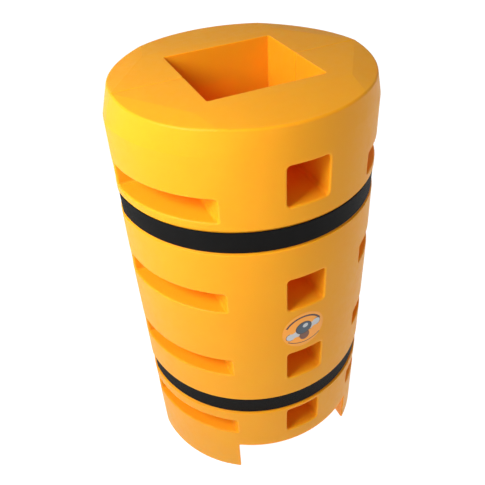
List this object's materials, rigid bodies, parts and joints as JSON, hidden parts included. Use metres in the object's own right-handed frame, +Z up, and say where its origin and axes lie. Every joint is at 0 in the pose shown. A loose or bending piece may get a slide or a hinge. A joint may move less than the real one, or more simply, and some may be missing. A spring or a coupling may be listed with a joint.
{
  "type": "column protector",
  "caption": "Yellow moulded plastic column protector: hollow half-round shells with windows and pockets round a square opening, held together by black hook-and-loop straps.",
  "frame": {"origin": "on the floor, at the centre of the square column opening", "axes": "+Z up along the column, +X along the seam between the halves, the half with the sticker on the -Y side"},
  "size_m": [0.6082, 0.5679, 1.0668],
  "materials": {
    "shell": "semi-gloss yellow polyethylene with a fine moulded grain",
    "webbing": "black woven webbing",
    "loop": "black loop pile",
    "hook": "black moulded hooks",
    "ring": "zinc-plated wire",
    "sticker": "printed vinyl, pale grey with a dark rim and no words"
  },
  "bodies": {
    "protector": {"front_half": "shell", "rear_half": "shell", "sticker": "sticker", "upper_strap": "webbing", "upper_strap_ring": "ring", "upper_strap_loop_patch": "loop", "lower_strap": "webbing", "lower_strap_ring": "ring", "lower_strap_loop_patch": "loop"},
    "upper_tail": {"upper_strap_tail": "webbing", "upper_strap_hook_patch": "hook"},
    "lower_tail": {"lower_strap_tail": "webbing", "lower_strap_hook_patch": "hook"}
  },
  "joints": [
    {"name": "upper_tail_peel", "type": "hinge", "parent": "protector", "child": "upper_tail", "pos_m": [0.24156, 0.16619, 0.819], "axis": [0, 0, -1], "range_deg": [0, 150]},
    {"name": "lower_tail_peel", "type": "hinge", "parent": "protector", "child": "lower_tail", "pos_m": [0.24156, 0.16619, 0.287], "axis": [0, 0, -1], "range_deg": [0, 150]}
  ]
}
